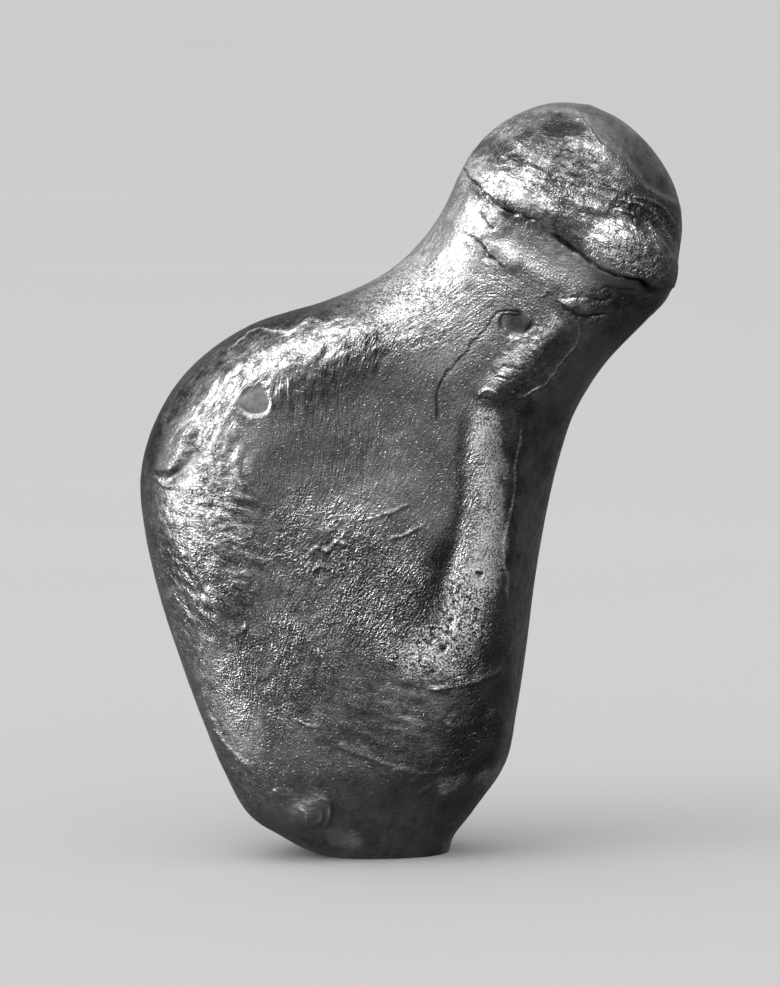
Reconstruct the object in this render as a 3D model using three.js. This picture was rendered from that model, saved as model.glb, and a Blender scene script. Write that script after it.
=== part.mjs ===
// An iron meteorite: one solid lump of nickel-iron, melted smooth on its way down.
// A broad, hollow-faced body stands on a small natural flat and narrows to a neck,
// which bends to the right and ends in a round, overlapping head.
// Millimetres. +Z is up, the hollow face looks along -Y and +X is to its right.
import * as THREE from "three";
import { mergeVertices } from "three/addons/utils/BufferGeometryUtils.js";

// ---- Mesh density -----------------------------------------------------------
const SEGMENTS_AROUND = 70; // vertices in each section
const RINGS = 70; // sections from the middle of the foot to the crown
const FOOT_RINGS = 2; // of which this many lie in the flat foot
const FRONT_SHARE = 0.68; // share of each section's vertices on the front half
const LINE_STEPS = 30; // straight steps in each ridge, groove and ledge line
const CROWN_BIAS = 0.5; // 0 spaces the rings evenly, and 1 gathers them in the head

// ---- Form -------------------------------------------------------------------
// Sections from the foot up to the crown. left and right are the outline's points [x, z]
// as seen from the front, and front and back are the depths to each side of the middle plane.
const FOOT_SECTION = { left: [-4.7, 0], right: [1.95, 0], front: 2.9, back: 2.7 };
const SECTIONS = [
  FOOT_SECTION,
  { left: [-6.0, 0.6], right: [2.15, 0.7], front: 3.6, back: 3.8 },
  { left: [-7.9, 2.1], right: [3.2, 2.1], front: 4.6, back: 4.9 },
  { left: [-9.2, 4.5], right: [4.8, 4.5], front: 5.7, back: 5.9 },
  { left: [-10.2, 6.9], right: [5.3, 6.9], front: 6.3, back: 6.5 },
  { left: [-11.4, 10.2], right: [5.8, 10.2], front: 6.7, back: 7.0 },
  { left: [-12.5, 13.4], right: [6.2, 13.4], front: 6.8, back: 7.1 },
  { left: [-13.2, 16.4], right: [6.6, 15.9], front: 6.7, back: 7.0 },
  { left: [-13.4, 19.1], right: [7.1, 18.4], front: 6.5, back: 6.8 },
  { left: [-12.7, 21.7], right: [7.6, 20.3], front: 6.2, back: 6.4 },
  { left: [-11.0, 24.3], right: [8.1, 21.8], front: 5.8, back: 6.0 },
  { left: [-8.1, 26.4], right: [8.9, 23.3], front: 5.4, back: 5.6 },
  { left: [-4.1, 27.7], right: [9.8, 24.6], front: 5.0, back: 5.2 },
  { left: [-1.3, 29.0], right: [10.7, 25.6], front: 4.8, back: 4.9 },
  { left: [0.4, 30.5], right: [11.7, 26.6], front: 4.8, back: 4.8 },
  { left: [1.6, 32.2], right: [12.8, 27.8], front: 5.0, back: 4.9 },
  { left: [2.4, 33.9], right: [13.3, 29.6], front: 5.2, back: 5.1 },
  { left: [3.2, 35.2], right: [13.5, 31.6], front: 5.05, back: 4.8 },
  { left: [4.3, 36.3], right: [13.1, 33.4], front: 4.6, back: 4.2 },
  { left: [5.7, 37.1], right: [12.0, 35.2], front: 3.6, back: 3.1 },
  { left: [7.2, 37.5], right: [10.5, 36.6], front: 2.2, back: 1.8 },
  { left: [8.9, 37.4], right: [8.9, 37.4], front: 0, back: 0 },
];
// The section's right side lies further back than its left by this share of the width.
const SKEW = 0.1;
const SECTION_SQUARENESS = 2.35; // 2 is an ellipse, and more makes its faces flatter

// ---- Relief on the front ----------------------------------------------------
// Places are [x, z] as seen by a viewer in front and a little above, who looks at aim.
// Heights are outwards, so a hollow is below 0.
const VIEWER = { distance: 320, pitch: THREE.MathUtils.degToRad(5), aim: [-1.1, 18] };
const MOUNDS = [
  { centre: [-2.6, 13.8], radii: [7.4, 11.5], turn: -0.12, height: -1.0 }, // the hollow face
  { centre: [-3.6, 20.4], radii: [5.0, 4.6], turn: 0.1, height: -0.2 }, // and its deeper middle
  { centre: [2.9, 9.6], radii: [3.0, 4.4], turn: -0.25, height: 0.2 }, // swelling at the rope's end
  { centre: [6.2, 30.7], radii: [4.2, 1.6], turn: -0.6, height: -0.3 }, // shelf below the head's lip
  { centre: [4.2, 31.5], radii: [1.0, 0.9], turn: 0.3, height: 0.12 }, // fold between lip and neck
  { centre: [8.5, 27.4], radii: [1.3, 0.7], turn: -0.15, height: 0.2 }, // scale under the lip
  { centre: [4.7, 33.15], radii: [2.3, 1.2], turn: -0.6, height: 0.3 }, // bulges on the lip
  { centre: [11.2, 29.7], radii: [2.8, 1.9], turn: -0.55, height: 0.65 },
  { centre: [8.1, 34.2], radii: [3.4, 1.4], turn: -0.5, height: -0.25 }, // dip across the head
  { centre: [7.6, 36.35], radii: [1.3, 0.6], turn: -0.1, height: -0.15 }, // dimple in the crown
  { centre: [-4.6, 2.2], radii: [0.9, 1.1], turn: 0.2, height: 0.2 }, // blister near the foot
  { centre: [-7.73, 22.55], radii: [1.1, 1.0], turn: 0, height: -0.25 }, // round pit in the rim
  { centre: [5.2, 26.45], radii: [1.0, 0.9], turn: 0, height: -0.25 }, // pit in the neck
];
// Ridges and grooves follow a line, with a rounded profile of this half width.
const LINES = [
  {
    path: [
      [3.0, 9.8], [3.6, 11.4], [3.9, 13.4], [4.05, 15.4], [4.1, 17.8], [3.95, 20.2], [3.7, 23.0],
    ],
    width: 0.95,
    height: 0.28,
  }, // the rope of melt down the right of the hollow
  {
    path: [[3.6, 22.4], [4.7, 23.8], [5.8, 24.8], [6.9, 25.8], [7.8, 26.7]],
    width: 0.6,
    height: 0.3,
  }, // the fold above the rope
  { path: [[5.2, 22.9], [6.1, 23.8], [7.1, 24.8], [7.9, 25.9]], width: 0.5, height: -0.1 },
  {
    path: [
      [1.7, 10.4], [2.0, 11.8], [2.25, 13.2], [2.6, 15.7], [2.85, 18.2], [2.8, 20.2], [2.9, 22.6],
    ],
    width: 0.4,
    height: -0.25,
  }, // the groove beside the rope
  {
    path: [[1.0, 9.4], [1.5, 11.4], [1.9, 13.2], [2.3, 14.8], [2.8, 17.0]],
    width: 0.6,
    height: -0.25,
    fading: 0.4,
  }, // and its broad end
  {
    path: [
      [-5.4, 0.8], [-7.6, 3.4], [-9.2, 6.6], [-10.4, 10.0], [-11.2, 14.0], [-11.4, 18.0], [-9.2, 23.0],
      [-4.2, 25.9], [1.8, 29.2],
    ],
    width: 2.1,
    height: 0.5,
  }, // the rim round the hollow's left
];
// A ledge stands out on the left of its line, as one walks along it, and fades away from it.
const LEDGES = [
  {
    path: [
      [1.6, 35.2], [3.0, 33.8], [3.7, 33.15], [4.3, 32.55], [5.0, 32.05], [6.4, 31.6], [7.0, 31.1],
      [7.7, 30.6], [9.1, 29.5], [9.8, 29.15], [10.6, 28.9], [11.4, 28.85], [12.4, 28.4], [14.0, 27.8],
    ],
    rise: 0.7,
    reach: 1.2,
  }, // the head's lip
  {
    path: [[1.6, 31.6], [2.7, 31.0], [3.4, 30.55], [3.85, 29.9], [4.4, 29.4], [5.4, 28.9]],
    rise: 0.25,
    reach: 0.6,
  }, // second fold, in the neck
  {
    path: [[7.2, 27.7], [8.0, 27.2], [8.7, 27.0], [9.5, 26.95], [10.6, 27.2], [11.4, 27.8]],
    rise: 0.2,
    reach: 0.6,
  }, // scales under the lip
  {
    path: [
      [8.45, 26.7], [8.5, 26.0], [8.2, 25.3], [7.35, 24.35], [6.7, 23.45], [5.8, 22.9], [5.1, 22.6],
    ],
    rise: 0.15,
    reach: 0.8,
  }, // sheet of melt down the right
  {
    path: [
      [-12.9, 19.1], [-12.2, 18.7], [-11.5, 18.8], [-11.0, 19.3], [-10.7, 19.9], [-10.45, 20.6],
      [-10.2, 21.5],
    ],
    rise: 0.4,
    reach: 0.8,
  }, // slit in the rim
  {
    path: [
      [14.2, 32.2], [13.3, 32.55], [12.0, 33.15], [11.3, 33.9], [10.6, 34.8], [9.8, 35.35],
      [9.2, 36.0], [8.95, 36.4], [8.4, 37.1], [8.1, 37.8],
    ],
    rise: 0.2,
    reach: 0.8,
  }, // crown
];
const LEDGE_STEP = 0.7; // width of the slope up to a ledge
const FADING = 0.15; // share of a line over which it fades in, and out, unless the line says

// ---- Relief on the back -----------------------------------------------------
const THUMBPRINTS = [
  { centre: [-5.0, 19.5], radii: [6.2, 5.4], turn: 0.4, height: -1.0 },
  { centre: [-1.6, 8.5], radii: [5.0, 6.0], turn: -0.3, height: -0.9 },
  { centre: [4.9, 24.6], radii: [3.4, 4.6], turn: -0.7, height: -0.6 },
  { centre: [9.4, 32.6], radii: [3.4, 2.8], turn: 0.3, height: -0.45 },
];
const SWELL_HEIGHT = 0.16; // of the gentle unevenness all over

// ---- Measures ---------------------------------------------------------------
const smooth = (from, to, value) => THREE.MathUtils.smoothstep(value, from, to);

// Where the viewer sees a point, in the upright plane through the aim.
function seen({ x, y, z }) {
  const [aimX, aimZ] = VIEWER.aim;
  const [cos, sin] = [Math.cos(VIEWER.pitch), Math.sin(VIEWER.pitch)];
  const up = (z - aimZ) * cos + y * sin;
  const nearer = (z - aimZ) * sin - y * cos;
  const scale = VIEWER.distance / (VIEWER.distance - nearer);
  return [aimX + (x - aimX) * scale, aimZ + up * scale];
}

// 1 at the middle of a turned ellipse, falling smoothly to 0 on its edge and beyond.
function dome([x, z], { centre, radii, turn }) {
  const [dx, dz] = [x - centre[0], z - centre[1]];
  const along = (dx * Math.cos(turn) + dz * Math.sin(turn)) / radii[0];
  const across = (dz * Math.cos(turn) - dx * Math.sin(turn)) / radii[1];
  const inside = Math.max(0, 1 - along * along - across * across);
  return inside * inside * (3 - 2 * inside);
}

// How a place lies to a line of points: away is the distance, side is above 0 on the
// line's left, and share runs from 0 at its start to 1 at its end.
function nearest([x, z], path) {
  let best = { away: Infinity };
  for (let i = 1; i < path.length; i++) {
    const [[ax, az], [bx, bz]] = [path[i - 1], path[i]];
    const [ux, uz] = [bx - ax, bz - az];
    const along = ((x - ax) * ux + (z - az) * uz) / (ux * ux + uz * uz);
    const share = THREE.MathUtils.clamp(along, 0, 1);
    const [px, pz] = [x - ax - share * ux, z - az - share * uz];
    const away = Math.hypot(px, pz);
    if (away < best.away)
      best = { away, side: ux * pz - uz * px, share: (i - 1 + share) / (path.length - 1) };
  }
  return best;
}

// A smooth line through a few points.
const flowing = (points) =>
  new THREE.SplineCurve(points.map(([x, z]) => new THREE.Vector2(x, z)))
    .getPoints(LINE_STEPS)
    .map((point) => point.toArray());

const lines = LINES.map((line) => ({ ...line, path: flowing(line.path) }));
const ledges = LEDGES.map((ledge) => ({ ...ledge, path: flowing(ledge.path) }));

const moundRelief = (place, mounds) =>
  mounds.reduce((sum, mound) => sum + mound.height * dome(place, mound), 0);

// A line fades in at its start and out at its end.
const ends = (share, fading) => smooth(0, fading, share) * (1 - smooth(1 - fading, 1, share));

function lineRelief(place) {
  return lines.reduce((sum, { path, width, height, fading = FADING }) => {
    const { away, share } = nearest(place, path);
    return sum + height * ends(share, fading) * Math.exp(-((away / width) ** 2));
  }, 0);
}

function ledgeRelief(place) {
  return ledges.reduce((sum, { path, rise, reach }) => {
    const { away, side, share } = nearest(place, path);
    if (side <= 0) return sum;
    const raised = rise * smooth(0, LEDGE_STEP, away) * Math.exp(-away / reach);
    return sum + raised * ends(share, FADING);
  }, 0);
}

function swell({ x, y, z }) {
  const broad = Math.sin(0.5 * x + 0.3 * z + 0.8) * Math.cos(0.5 * y - 0.25 * z);
  const tight = Math.sin(0.9 * x - 0.8 * y) * Math.cos(0.6 * z + 0.5 * x + 1.9);
  return SWELL_HEIGHT * (broad + 0.4 * tight);
}

// ---- The lump ---------------------------------------------------------------
const rail = (points) => new THREE.CatmullRomCurve3(points, false, "centripetal");
const onFront = ([x, z]) => new THREE.Vector3(x, 0, z);
const leftRail = rail(SECTIONS.map((s) => onFront(s.left)));
const rightRail = rail(SECTIONS.map((s) => onFront(s.right)));
const middleRail = rail(SECTIONS.map((s) => onFront(s.left).add(onFront(s.right)).divideScalar(2)));
const depthRail = rail(SECTIONS.map((s) => new THREE.Vector3(s.front, s.back, 0)));

const powered = (value) => Math.sign(value) * Math.abs(value) ** (2 / SECTION_SQUARENESS);

// The angle round a section for a share of its vertices, 0 at the left and counted over the front.
function angleAt(share) {
  const front = share < FRONT_SHARE;
  return front
    ? (Math.PI * share) / FRONT_SHARE
    : Math.PI * (1 + (share - FRONT_SHARE) / (1 - FRONT_SHARE));
}

// A point of the smooth form: share round the section, and ring counted from the foot.
function formPoint(share, ring) {
  const onFoot = Math.min(1, ring / FOOT_RINGS);
  const rise = Math.max(0, ring - FOOT_RINGS) / (RINGS - FOOT_RINGS);
  const t = THREE.MathUtils.lerp(middleRail.getUtoTmapping(rise), rise, CROWN_BIAS);
  const [left, right, depth] = [leftRail, rightRail, depthRail].map((r) => r.getPoint(t));
  const across = -powered(Math.cos(angleAt(share))) * onFoot;
  const toFront = powered(Math.sin(angleAt(share))) * onFoot;
  const point = left.clone().add(right).multiplyScalar(0.5);
  const middle = point.x;
  point.addScaledVector(right.sub(left), across / 2);
  point.y = -toFront * (toFront > 0 ? depth.x : depth.y) + SKEW * (point.x - middle);
  point.z = Math.max(0, point.z);
  return point;
}

function lump() {
  const sphere = new THREE.SphereGeometry(1, SEGMENTS_AROUND, RINGS);
  const { position, uv } = sphere.attributes;
  for (let i = 0; i < position.count; i++) {
    const ring = Math.round(uv.getY(i) * RINGS);
    const share = ring === 0 || ring === RINGS ? 0 : uv.getX(i);
    position.setXYZ(i, ...formPoint(share, ring));
  }
  sphere.deleteAttribute("normal");
  sphere.deleteAttribute("uv");
  return mergeVertices(sphere, 1e-3);
}

// Moves each vertex outwards by the relief there. The flat foot stays flat.
function carve(geometry) {
  geometry.computeVertexNormals();
  const { position, normal } = geometry.attributes;
  for (let i = 0; i < position.count; i++) {
    const point = new THREE.Vector3().fromBufferAttribute(position, i);
    const outwards = new THREE.Vector3().fromBufferAttribute(normal, i);
    const place = seen(point);
    const facingFront = smooth(-0.1, 0.5, -outwards.y);
    const facingBack = smooth(0.1, 0.6, outwards.y);
    const front = moundRelief(place, MOUNDS) + lineRelief(place) + ledgeRelief(place);
    const back = moundRelief(place, THUMBPRINTS);
    const offFoot = smooth(0.2, 2, point.z);
    const uneven = swell(point) * smooth(0, 0.6, Math.abs(outwards.y));
    const height = (front * facingFront + back * facingBack + uneven) * offFoot;
    point.addScaledVector(outwards, height);
    position.setXYZ(i, point.x, point.y, point.z);
  }
  geometry.deleteAttribute("normal");
  return geometry;
}

// Cuts each four-sided patch of the grid across its shorter diagonal.
function shortenDiagonals(geometry) {
  const { index, attributes } = geometry;
  const corner = (vertex) => new THREE.Vector3().fromBufferAttribute(attributes.position, vertex);
  const cap = 3 * SEGMENTS_AROUND; // the index entries of the fan at each pole
  for (let i = cap; i < index.count - cap; i += 6) {
    const [a, b, d, , c] = index.array.slice(i, i + 5);
    if (corner(a).distanceTo(corner(c)) < corner(b).distanceTo(corner(d)))
      index.array.set([a, b, c, a, c, d], i);
  }
  return geometry;
}

// Puts the origin under the middle of the bounding box, on the surface it stands on.
function centre(geometry) {
  geometry.computeBoundingBox();
  const middle = geometry.boundingBox.getCenter(new THREE.Vector3());
  return geometry.translate(-middle.x, -middle.y, 0);
}

const nickelIron = new THREE.MeshStandardMaterial({ color: 0x6f7072, metalness: 1, roughness: 0.42 });
const meteorite = new THREE.Mesh(centre(shortenDiagonals(carve(lump()))), nickelIron);
meteorite.name = "meteorite";

const object = new THREE.Group();
object.add(meteorite);
export default object;
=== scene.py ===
"""An iron meteorite on a pale studio floor: one lump of nickel-iron, melted smooth on its way down.

The lump is a sphere drawn out to its sections, then carved by relief that is laid on along
the sight lines of a viewer in front. Form and relief are worked out in millimetres, and the
mesh is in metres. +Z is up, the hollow face looks along -Y and +X is to its right.
"""
import itertools
import math
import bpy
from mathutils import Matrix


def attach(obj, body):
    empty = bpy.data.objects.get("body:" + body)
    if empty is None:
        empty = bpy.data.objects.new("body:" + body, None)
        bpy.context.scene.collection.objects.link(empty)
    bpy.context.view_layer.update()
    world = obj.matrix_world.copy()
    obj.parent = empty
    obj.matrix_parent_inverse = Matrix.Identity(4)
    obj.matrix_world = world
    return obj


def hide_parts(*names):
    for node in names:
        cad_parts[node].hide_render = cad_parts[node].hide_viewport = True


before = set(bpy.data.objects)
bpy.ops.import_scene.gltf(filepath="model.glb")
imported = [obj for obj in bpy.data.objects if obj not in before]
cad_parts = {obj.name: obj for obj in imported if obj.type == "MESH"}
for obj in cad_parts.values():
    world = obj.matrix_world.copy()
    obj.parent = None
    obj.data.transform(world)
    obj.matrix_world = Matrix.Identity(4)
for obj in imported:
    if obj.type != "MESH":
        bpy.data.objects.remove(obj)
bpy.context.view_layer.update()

from types import SimpleNamespace

import bpy
import numpy as np
from mathutils import Vector

MM = 0.001

# ---- Mesh density -----------------------------------------------------------
SEGMENTS = 245  # vertices in each section
RINGS = 238  # sections from the middle of the foot to the crown
FOOT_RINGS = 9  # of which this many lie in the flat foot
FRONT_SHARE = 0.72  # share of each section's vertices on the front half
CROWN_BIAS = 0.5  # 0 spaces the rings evenly, and 1 gathers them in the head
LINE_STEPS = 30  # straight steps in each ridge, groove and ledge line
MIDDLE_STEPS = 200  # steps in which the length of the sections' middle line is measured

# ---- Form, in millimetres ---------------------------------------------------
# left and right are the outline's points (x, z) as seen from the front, and front and back
# are the depths to each side of the middle plane.
SECTIONS = [
    dict(left=(-4.7, 0), right=(1.95, 0), front=2.9, back=2.7),
    dict(left=(-6.0, 0.6), right=(2.15, 0.7), front=3.6, back=3.8),
    dict(left=(-7.9, 2.1), right=(3.2, 2.1), front=4.6, back=4.9),
    dict(left=(-9.2, 4.5), right=(4.8, 4.5), front=5.7, back=5.9),
    dict(left=(-10.2, 6.9), right=(5.3, 6.9), front=6.3, back=6.5),
    dict(left=(-11.4, 10.2), right=(5.8, 10.2), front=6.7, back=7.0),
    dict(left=(-12.5, 13.4), right=(6.2, 13.4), front=6.8, back=7.1),
    dict(left=(-13.2, 16.4), right=(6.6, 15.9), front=6.7, back=7.0),
    dict(left=(-13.4, 19.1), right=(7.1, 18.4), front=6.5, back=6.8),
    dict(left=(-12.7, 21.7), right=(7.6, 20.3), front=6.2, back=6.4),
    dict(left=(-11.0, 24.3), right=(8.1, 21.8), front=5.8, back=6.0),
    dict(left=(-8.1, 26.4), right=(8.9, 23.3), front=5.4, back=5.6),
    dict(left=(-4.1, 27.7), right=(9.8, 24.6), front=5.0, back=5.2),
    dict(left=(-1.3, 29.0), right=(10.7, 25.6), front=4.8, back=4.9),
    dict(left=(0.4, 30.5), right=(11.7, 26.6), front=4.8, back=4.8),
    dict(left=(1.6, 32.2), right=(12.8, 27.8), front=5.0, back=4.9),
    dict(left=(2.4, 33.9), right=(13.3, 29.6), front=5.2, back=5.1),
    dict(left=(3.2, 35.2), right=(13.5, 31.6), front=5.05, back=4.8),
    dict(left=(4.3, 36.3), right=(13.1, 33.4), front=4.6, back=4.2),
    dict(left=(5.7, 37.1), right=(12.0, 35.2), front=3.6, back=3.1),
    dict(left=(7.2, 37.5), right=(10.5, 36.6), front=2.2, back=1.8),
    dict(left=(8.9, 37.4), right=(8.9, 37.4), front=0, back=0),
]
SKEW = 0.1  # a section's right side lies further back than its left by this share of the width
SQUARENESS = 2.35  # 2 is an ellipse, and more makes a section's faces flatter

# ---- Relief on the front, in millimetres ------------------------------------
# Places are (x, z) as the viewer sees them. Heights are outwards, so a hollow's is below 0.
VIEWER_DISTANCE = 320
VIEWER_PITCH = math.radians(5)
VIEWER_AIM = (-1.1, 18)
FADING = 0.12  # share of a line over which it fades in, and out, unless the line says


def dome(at, radii, height, turn=0.0):
    """A rounded swelling on an ellipse, which is turned by so many radians."""
    return dict(at=at, radii=radii, height=height, turn=turn)


def line(path, width, height, dark=1.0, fading=FADING):
    """A ridge or groove with a rounded profile of this half width. Dark is how dark a groove
    is painted inside, partly as soot and partly as painted shade."""
    return dict(path=path, width=width, height=height, dark=dark, fading=fading)


MOUNDS = [
    dome((-2.6, 13.8), (7.4, 11.5), -1.0, turn=-0.12),  # the hollow face
    dome((-3.6, 20.4), (5.0, 4.6), -0.2, turn=0.1),  # and its deeper middle
    dome((2.9, 9.6), (3.0, 4.4), 0.2, turn=-0.25),  # swelling at the rope's end
    dome((6.2, 30.7), (4.2, 1.6), -0.3, turn=-0.6),  # shelf below the head's lip
    dome((4.2, 31.5), (1.0, 0.9), 0.12, turn=0.3),  # fold between lip and neck
    dome((8.5, 27.4), (1.2, 0.55), 0.11, turn=-0.15),  # scale under the lip
    dome((4.7, 33.15), (2.3, 1.2), 0.3, turn=-0.6),  # bulges on the lip
    dome((6.5, 32.1), (1.8, 0.9), 0.14, turn=-0.6),
    dome((11.2, 29.7), (2.8, 1.9), 0.65, turn=-0.55),
    dome((8.1, 34.2), (3.4, 1.4), -0.25, turn=-0.5),
    dome((7.6, 36.35), (1.3, 0.5), -0.14, turn=-0.1),  # dimple in the crown
    dome((-4.6, 2.2), (0.9, 1.1), 0.12, turn=0.2),  # blister near the foot
    dome((-6.4, 3.3), (0.5, 0.35), 0.05),
    dome((3.9, 3.9), (0.9, 0.7), 0.08, turn=0.8),
]
# Pits, with a floor this far down and a thin raised rim. At level 1 the floor is upright and
# looks straight forward, and at 0 it follows the surface round it. A point draws the pit out
# by that share, downwards and to both upper sides.
PITS = [
    dict(at=(-7.73, 22.55), radii=(0.84, 0.8), turn=0.2, depth=0.04, rim=0.0, point=0.0, level=0.75),
    dict(at=(5.2, 26.45), radii=(0.8, 0.64), turn=0.0, depth=0.04, rim=0.0, point=0.17, level=0.8),
    dict(at=(3.42, 13.95), radii=(0.15, 0.21), turn=0.4, depth=0.12, rim=0.05, point=0.12, level=0.8),
    dict(at=(2.2, 11.6), radii=(0.19, 0.12), turn=0.3, depth=0.16, rim=0.02, point=0.1, level=1.0),
    dict(at=(1.8, 10.2), radii=(0.22, 0.14), turn=0.5, depth=0.2, rim=0.02, point=0.1, level=1.0),
    dict(at=(1.25, 9.0), radii=(0.14, 0.12), turn=0.0, depth=0.15, rim=0.02, point=0.0, level=1.0),
]
# The rim round the hollow's left.
RIM = [(-5.4, 0.8), (-7.6, 3.4), (-9.2, 6.6), (-10.4, 10.0), (-11.2, 14.0), (-11.4, 18.0),
       (-9.2, 23.0), (-4.2, 25.9), (1.8, 29.2)]
# Broad ridges and grooves.
LINES = [
    line([(3.0, 9.8), (3.6, 11.4), (3.9, 13.4), (4.05, 15.4), (4.1, 17.8), (3.95, 20.2),
          (3.7, 23.0)], 0.95, 0.28),  # the rope of melt down the right of the hollow
    line([(1.7, 10.4), (2.0, 11.8), (2.25, 13.2), (2.45, 14.6), (2.6, 15.7), (2.8, 17.1),
          (2.85, 18.2), (2.8, 20.2), (2.9, 22.6)], 0.34, -0.2),  # the groove beside it
    # The groove's broad end.
    line([(1.0, 9.4), (1.5, 11.4), (1.9, 13.2), (2.3, 14.8), (2.8, 17.0)], 0.6, -0.25, fading=0.4),
    line(RIM, 2.1, 0.5),
    # The fold above the rope, and the hollow beside it.
    line([(3.6, 22.4), (4.7, 23.8), (5.8, 24.8), (6.9, 25.8), (7.8, 26.7)], 0.6, 0.28),
    line([(5.2, 22.9), (6.1, 23.8), (7.1, 24.8), (7.9, 25.9)], 0.5, -0.08),
]
# The crisp, wavy edge along the top of the hollow's rim.
RIM_CREST = [(-9.0, 24.8), (-8.5, 25.1), (-7.6, 25.95), (-6.9, 25.8), (-5.9, 25.7), (-5.4, 25.95),
             (-5.0, 26.3), (-4.5, 26.3), (-4.2, 26.15), (-3.6, 26.4), (-2.5, 26.7)]
# The thin line beside the rope.
ROPE_THREAD = [(5.6, 22.0), (5.5, 20.6), (5.2, 19.4), (5.1, 18.2), (4.85, 17.2), (4.5, 16.1),
               (4.4, 15.0), (4.6, 13.4), (4.6, 11.8)]
# The dull, flat strip at the groove's broad end, painted darker as the shade in the trough.
GROOVE_END = [(0.4, 11.1), (0.65, 12.0), (1.0, 13.1), (1.6, 14.6), (2.2, 15.7)]
# Drawn-out ridges down the right of the head.
HEAD_STREAKS = [
    [(10.5, 32.6), (11.4, 32.4), (12.1, 31.9), (12.6, 31.0), (12.9, 30.1)],
    [(10.3, 32.2), (11.1, 31.9), (11.8, 31.3), (12.3, 30.4), (12.5, 29.8)],
    [(10.9, 31.4), (11.6, 30.8), (12.0, 30.1)],
    [(11.0, 32.8), (12.0, 32.5), (12.7, 31.9), (13.0, 31.2)],
]
# The thin edge of the sheet of melt on the neck's right.
SHEET_EDGE = [(8.45, 26.0), (8.2, 25.35), (7.4, 24.4), (6.75, 23.5), (5.85, 22.95), (5.2, 22.7)]
# The edge between the head's torn face and its smooth right side.
CROWN_EDGE = [(8.95, 36.4), (9.2, 36.0), (9.8, 35.35), (10.6, 34.8), (11.3, 33.9), (12.0, 33.15),
              (13.3, 32.55)]
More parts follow.
